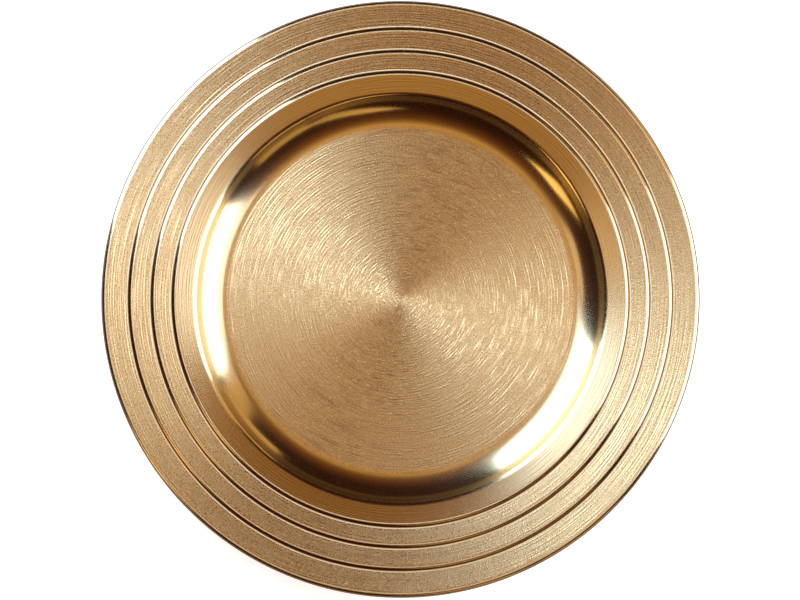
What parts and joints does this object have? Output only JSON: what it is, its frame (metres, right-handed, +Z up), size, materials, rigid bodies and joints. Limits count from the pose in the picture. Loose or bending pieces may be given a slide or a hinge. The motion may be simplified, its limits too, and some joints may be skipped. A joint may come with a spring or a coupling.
{
  "type": "charger plate",
  "caption": "Round gold-tone metal charger plate with a shallow well, a rim of shingled brushed bands, an edge rolled over a wire, and stick-on feet.",
  "frame": {"origin": "on the plate's axis, in the plane on which the feet rest", "axes": "+Z up along the plate's axis, +X to the right and +Y to the top of the picture"},
  "size_m": [0.33, 0.33, 0.0162],
  "materials": {
    "gold_plated_sheet": "pressed steel sheet, gold-tone plated, turned with a circular brush on floor and bands, polished in the cove, clear lacquer",
    "steel_wire": "plain drawn wire",
    "foot_rubber": "matt moulded",
    "foot_adhesive": "pressure-sensitive adhesive"
  },
  "bodies": {
    "root": {"plate_shell": "gold_plated_sheet", "edge_wire": "steel_wire", "foot_1": "foot_rubber", "foot_2": "foot_rubber", "foot_3": "foot_rubber", "foot_4": "foot_rubber", "foot_adhesive_1": "foot_adhesive", "foot_adhesive_2": "foot_adhesive", "foot_adhesive_3": "foot_adhesive", "foot_adhesive_4": "foot_adhesive"}
  },
  "joints": []
}
